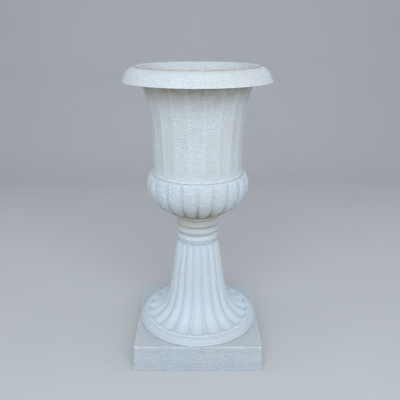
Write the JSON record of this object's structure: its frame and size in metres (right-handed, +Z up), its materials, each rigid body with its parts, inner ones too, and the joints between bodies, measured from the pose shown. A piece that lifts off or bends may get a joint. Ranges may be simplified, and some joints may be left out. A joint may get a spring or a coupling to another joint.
{
  "type": "pedestal urn planter",
  "caption": "Knock-down campana urn planter: fluted cup with turned-down rim, gadrooned bowl, ringed collar, fluted trumpet stem and a square plinth.",
  "frame": {"origin": "centre of the plinth's underside, on the floor", "axes": "+Z up along the urn axis, -Y towards the front, +X to the right seen from the front"},
  "size_m": [0.3874, 0.3874, 0.8],
  "materials": {
    "plinth": "satin, finely pebbled",
    "stem": "satin, smooth",
    "collar": "satin, finely pebbled",
    "bowl": "satin, finely pebbled",
    "cup": "satin, finely pebbled",
    "rubber": "matte black",
    "steel": "zinc plated"
  },
  "bodies": {
    "base": {"plinth": "plinth", "stem": "stem", "collar": "collar", "bowl": "bowl", "tie_bolt": "steel", "bolt_washer": "steel", "bolt_seal": "rubber", "nut_washer": "steel", "plinth_screw_1": "steel", "plinth_screw_2": "steel", "plinth_screw_3": "steel", "plinth_screw_4": "steel", "screw_washer_1": "steel", "screw_washer_2": "steel", "screw_washer_3": "steel", "screw_washer_4": "steel"},
    "cup": {"cup": "cup"},
    "drain_plug": {"drain_plug": "rubber"},
    "wing_nut": {"wing_nut": "steel"}
  },
  "joints": [
    {"name": "cup_lift", "type": "slide", "parent": "base", "child": "cup", "axis": [0, 0, 1], "range_m": [0, 0.12]},
    {"name": "plug_pull", "type": "slide", "parent": "cup", "child": "drain_plug", "axis": [0, 0, 1], "range_m": [0, 0.38]},
    {"name": "wing_nut_turn", "type": "hinge", "parent": "base", "child": "wing_nut", "pos_m": [0, 0, 0.2994], "axis": [0, 0, 1], "continuous": true}
  ]
}
